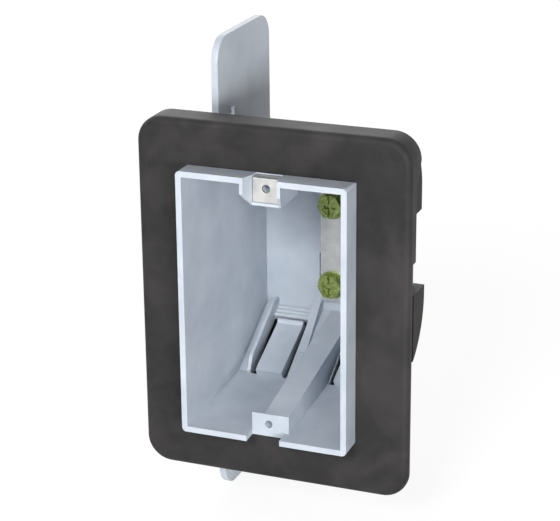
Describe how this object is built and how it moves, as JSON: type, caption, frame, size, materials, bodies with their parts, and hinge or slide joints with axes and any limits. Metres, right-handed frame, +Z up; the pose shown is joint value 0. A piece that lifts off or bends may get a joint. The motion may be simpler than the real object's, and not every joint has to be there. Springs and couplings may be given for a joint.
{
  "type": "new work outlet box",
  "caption": "One-gang plastic outlet box with a black sealing flange, rubber cable entry seals, a stud plate and a bonding strap for a new stud wall.",
  "frame": {"origin": "midway between the two device screw holes, on the plane where the device sits", "axes": "+X across the box to its free side, +Y into the wall, +Z up"},
  "size_m": [0.0956, 0.0787, 0.166],
  "materials": {
    "grey_plastic": "satin moulded plastic, blue grey",
    "black_rubber": "soft satin black rubber",
    "zinc_steel": "zinc plated sheet steel",
    "green_zinc": "green dyed zinc plate"
  },
  "bodies": {
    "root": {"housing": "grey_plastic", "wall_flange": "black_rubber", "upper_entry_seal": "black_rubber", "lower_entry_seal": "black_rubber", "bonding_strap": "zinc_steel", "upper_bonding_screw": "green_zinc", "lower_bonding_screw": "green_zinc"}
  },
  "joints": []
}
